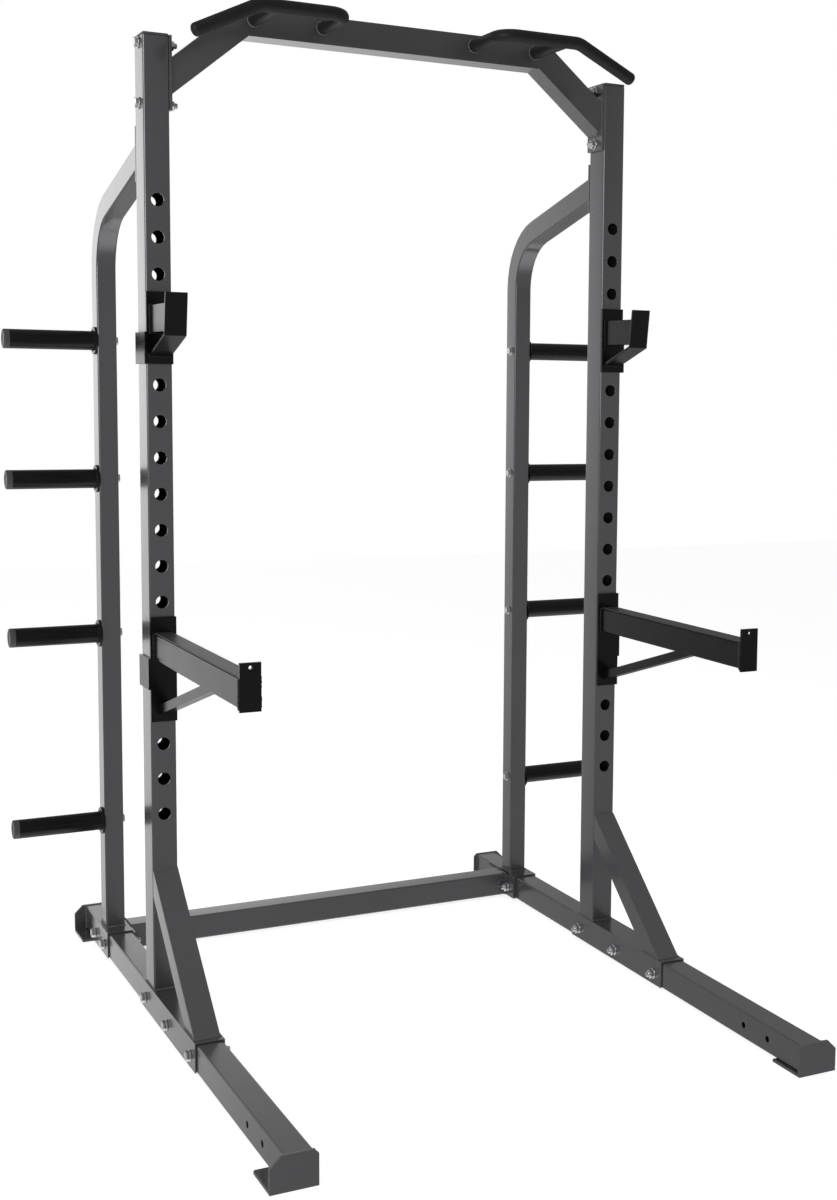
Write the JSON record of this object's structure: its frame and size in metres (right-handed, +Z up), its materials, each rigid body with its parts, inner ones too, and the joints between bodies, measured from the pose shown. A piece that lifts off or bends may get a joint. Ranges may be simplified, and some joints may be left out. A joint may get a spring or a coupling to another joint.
{
  "type": "power rack",
  "caption": "Free-standing half rack with a pull-up bar, bar hooks and spotter arms that plug into drilled uprights, and plate storage pegs at the rear.",
  "frame": {"origin": "on the floor under the middle of the whole rack's box", "axes": "+Z up, -Y towards the open front where the hooks and spotter arms are, +X to the right seen from the front; the two sides mirror across X = 0"},
  "size_m": [1.5176, 1.5268, 2.125],
  "materials": {
    "frame_paint": "gloss",
    "black_paint": "gloss",
    "liner_paint": "satin",
    "pin_steel": "polished",
    "grip_rubber": "textured",
    "cap_plastic": "satin",
    "zinc": "satin"
  },
  "bodies": {
    "frame": {"base_rail_left": "frame_paint", "foot_front_left": "frame_paint", "foot_rear_left": "frame_paint", "front_saddle_left": "frame_paint", "rear_saddle_left": "frame_paint", "front_upright_left": "frame_paint", "front_brace_left": "frame_paint", "rear_post_left": "frame_paint", "upright_cap_left": "cap_plastic", "plate_peg_1_left": "black_paint", "plate_peg_2_left": "black_paint", "plate_peg_3_left": "black_paint", "plate_peg_4_left": "black_paint", "front_base_bolt_1_left": "zinc", "front_base_bolt_2_left": "zinc", "front_base_bolt_3_left": "zinc", "rear_base_bolt_1_left": "zinc", "pullup_bolt_1_left": "zinc", "post_bolt_1_left": "zinc", "rear_base_bolt_2_left": "zinc", "pullup_bolt_2_left": "zinc", "post_bolt_2_left": "zinc", "pullup_grip_left": "grip_rubber", "base_rail_right": "frame_paint", "foot_front_right": "frame_paint", "foot_rear_right": "frame_paint", "front_saddle_right": "frame_paint", "rear_saddle_right": "frame_paint", "front_upright_right": "frame_paint", "front_brace_right": "frame_paint", "rear_post_right": "frame_paint", "upright_cap_right": "cap_plastic", "plate_peg_1_right": "black_paint", "plate_peg_2_right": "black_paint", "plate_peg_3_right": "black_paint", "plate_peg_4_right": "black_paint", "front_base_bolt_1_right": "zinc", "front_base_bolt_2_right": "zinc", "front_base_bolt_3_right": "zinc", "rear_base_bolt_1_right": "zinc", "pullup_bolt_1_right": "zinc", "post_bolt_1_right": "zinc", "rear_base_bolt_2_right": "zinc", "pullup_bolt_2_right": "zinc", "post_bolt_2_right": "zinc", "pullup_grip_right": "grip_rubber", "cross_beam": "frame_paint", "pullup_bar": "frame_paint"},
    "hook_slider_left": {"hook_pin_left": "pin_steel"},
    "hook_swing_left": {"bar_hook_left": "black_paint"},
    "arm_slider_left": {"arm_pin_left": "pin_steel"},
    "arm_swing_left": {"spotter_arm_left": "black_paint", "arm_liner_left": "liner_paint"},
    "hook_slider_right": {"hook_pin_right": "pin_steel"},
    "hook_swing_right": {"bar_hook_right": "black_paint"},
    "arm_slider_right": {"arm_pin_right": "pin_steel"},
    "arm_swing_right": {"spotter_arm_right": "black_paint", "arm_liner_right": "liner_paint"}
  },
  "joints": [
    {"name": "hook_pull_left", "type": "slide", "parent": "frame", "child": "hook_slider_left", "axis": [0, -1, 0], "range_m": [0, 0.08]},
    {"name": "hook_turn_left", "type": "hinge", "parent": "hook_slider_left", "child": "hook_swing_left", "pos_m": [-0.5325, 0.1304, 1.4971], "axis": [0, 1, 0], "range_deg": [0, 90]},
    {"name": "arm_pull_left", "type": "slide", "parent": "frame", "child": "arm_slider_left", "axis": [0, -1, 0], "range_m": [0, 0.08]},
    {"name": "arm_turn_left", "type": "hinge", "parent": "arm_slider_left", "child": "arm_swing_left", "pos_m": [-0.5325, 0.1304, 0.8221], "axis": [0, 1, 0], "range_deg": [0, 90]},
    {"name": "hook_pull_right", "type": "slide", "parent": "frame", "child": "hook_slider_right", "axis": [0, -1, 0], "range_m": [0, 0.08]},
    {"name": "hook_turn_right", "type": "hinge", "parent": "hook_slider_right", "child": "hook_swing_right", "pos_m": [0.5325, 0.1304, 1.4971], "axis": [0, -1, 0], "range_deg": [0, 90]},
    {"name": "arm_pull_right", "type": "slide", "parent": "frame", "child": "arm_slider_right", "axis": [0, -1, 0], "range_m": [0, 0.08]},
    {"name": "arm_turn_right", "type": "hinge", "parent": "arm_slider_right", "child": "arm_swing_right", "pos_m": [0.5325, 0.1304, 0.8221], "axis": [0, -1, 0], "range_deg": [0, 90]}
  ]
}
